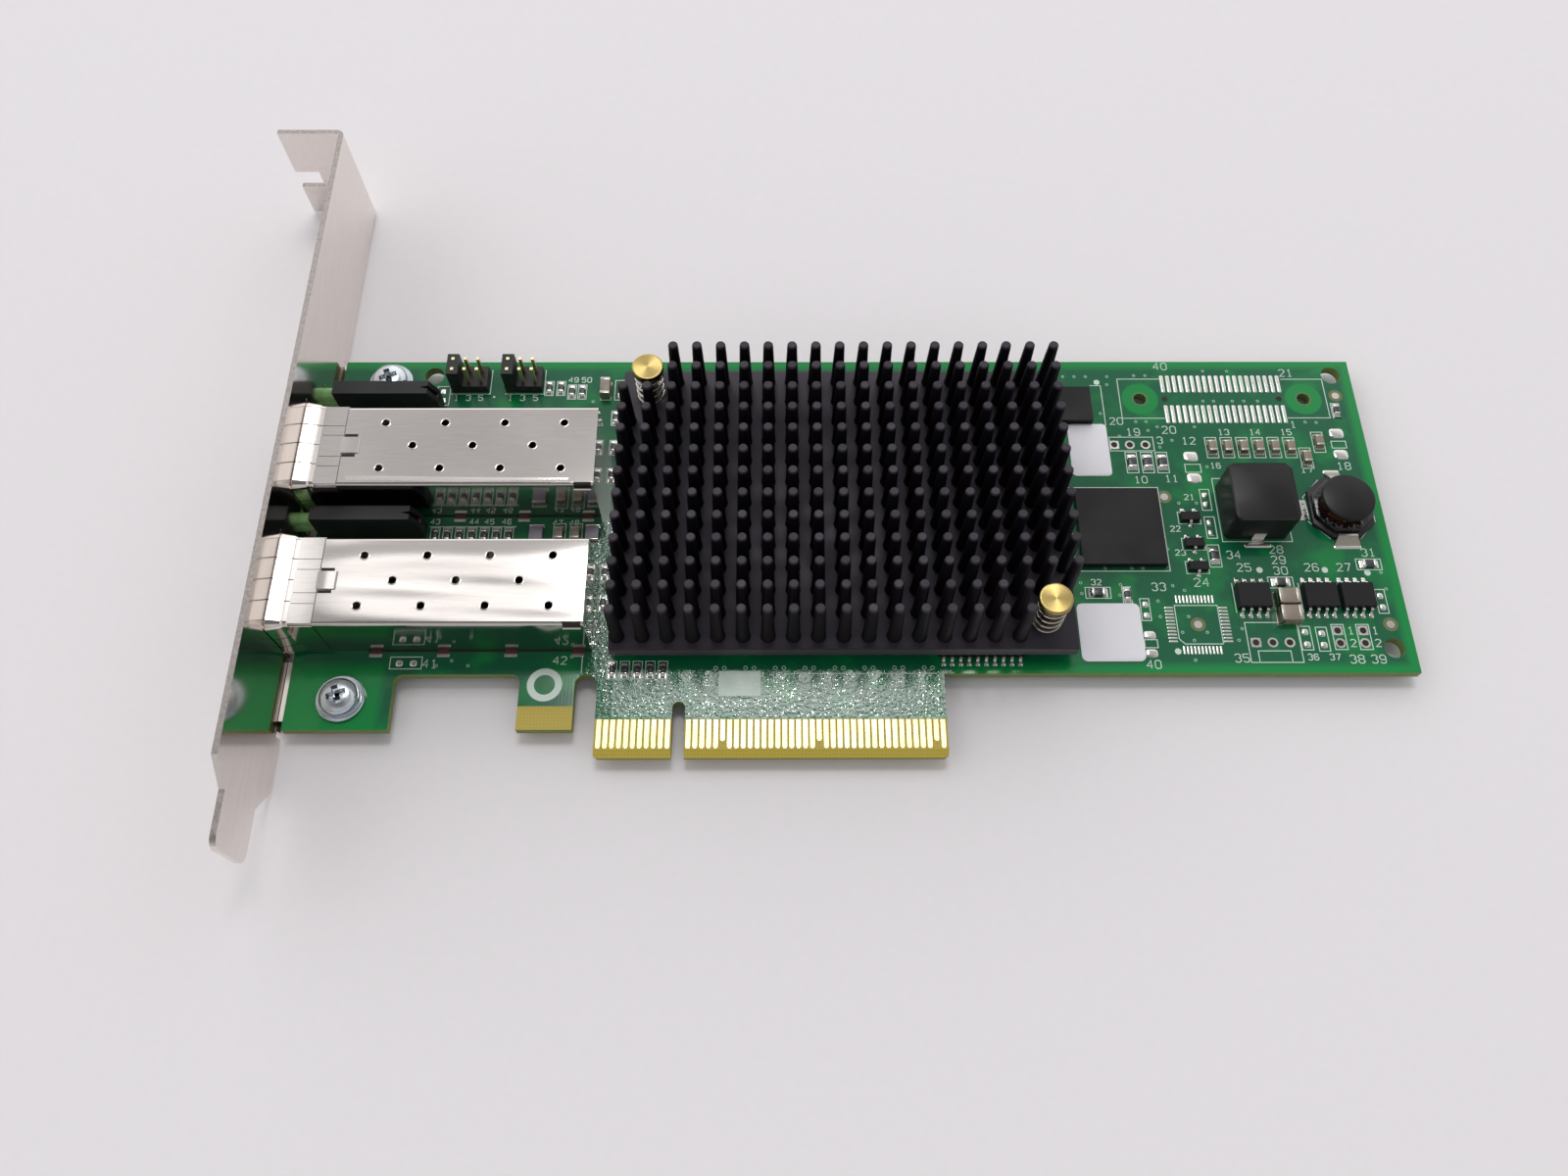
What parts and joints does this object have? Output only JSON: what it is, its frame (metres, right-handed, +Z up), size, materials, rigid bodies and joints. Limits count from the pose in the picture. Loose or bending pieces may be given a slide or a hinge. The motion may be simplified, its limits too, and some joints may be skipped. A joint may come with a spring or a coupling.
{
  "type": "expansion adapter card",
  "caption": "Expansion card with an edge connector, steel mounting bracket, optical port cages and a black pin-fin heat sink held by sprung push pins.",
  "frame": {"origin": "middle of the edge connector's key slot, at the connector's tip, on the component face", "axes": "+X along the board away from the bracket, +Y from the edge connector to the far edge, +Z up from the component face"},
  "size_m": [0.1798, 0.1207, 0.019],
  "materials": {
    "green_laminate": "green solder mask over glass-fibre laminate",
    "gold_plating": "hard gold over nickel",
    "bright_steel": "bright nickel-plated steel sheet",
    "satin_nickel": "satin nickel sheet",
    "zinc_steel": "zinc-plated steel",
    "black_plastic": "moulded black plastic",
    "green_lens": "translucent green plastic",
    "black_anodised": "matte black anodised aluminium",
    "turned_brass": "turned brass",
    "chip_epoxy": "dark grey moulded epoxy",
    "tinned_metal": "tinned copper alloy",
    "ferrite": "dark grey ferrite",
    "enamelled_copper": "enamelled copper wire",
    "tan_ceramic": "tan ceramic",
    "dark_ceramic": "dark glazed ceramic",
    "grey_pad": "grey thermal pad"
  },
  "bodies": {
    "root": {"circuit_board": "green_laminate", "edge_contacts": "gold_plating", "mounting_bracket": "bright_steel", "bracket_screws": "zinc_steel", "far_port_cage": "satin_nickel", "near_port_cage": "satin_nickel", "far_port_collar": "bright_steel", "near_port_collar": "bright_steel", "far_port_connector": "black_plastic", "near_port_connector": "black_plastic", "far_light_holder": "black_plastic", "near_light_holder": "black_plastic", "far_light_lens": "green_lens", "near_light_lens": "green_lens", "left_jumper_header": "black_plastic", "right_jumper_header": "black_plastic", "jumper_pins": "gold_plating", "left_jumper_cap": "black_plastic", "right_jumper_cap": "black_plastic", "heat_sink": "black_anodised", "thermal_pad": "grey_pad", "controller_chip": "chip_epoxy", "far_push_pin": "turned_brass", "near_push_pin": "turned_brass", "far_push_spring": "zinc_steel", "near_push_spring": "zinc_steel", "memory_chip": "chip_epoxy", "flash_chip": "chip_epoxy", "power_packages": "chip_epoxy", "power_package_leads": "tinned_metal", "driver_package": "chip_epoxy", "small_transistors": "chip_epoxy", "square_inductor": "ferrite", "square_inductor_clips": "tinned_metal", "drum_inductor_base": "black_plastic", "drum_inductor_core": "ferrite", "drum_inductor_winding": "enamelled_copper", "chip_capacitors": "tan_ceramic", "large_capacitors": "tan_ceramic", "chip_resistors": "dark_ceramic", "small_chips": "dark_ceramic", "ferrite_beads": "ferrite"}
  },
  "joints": []
}
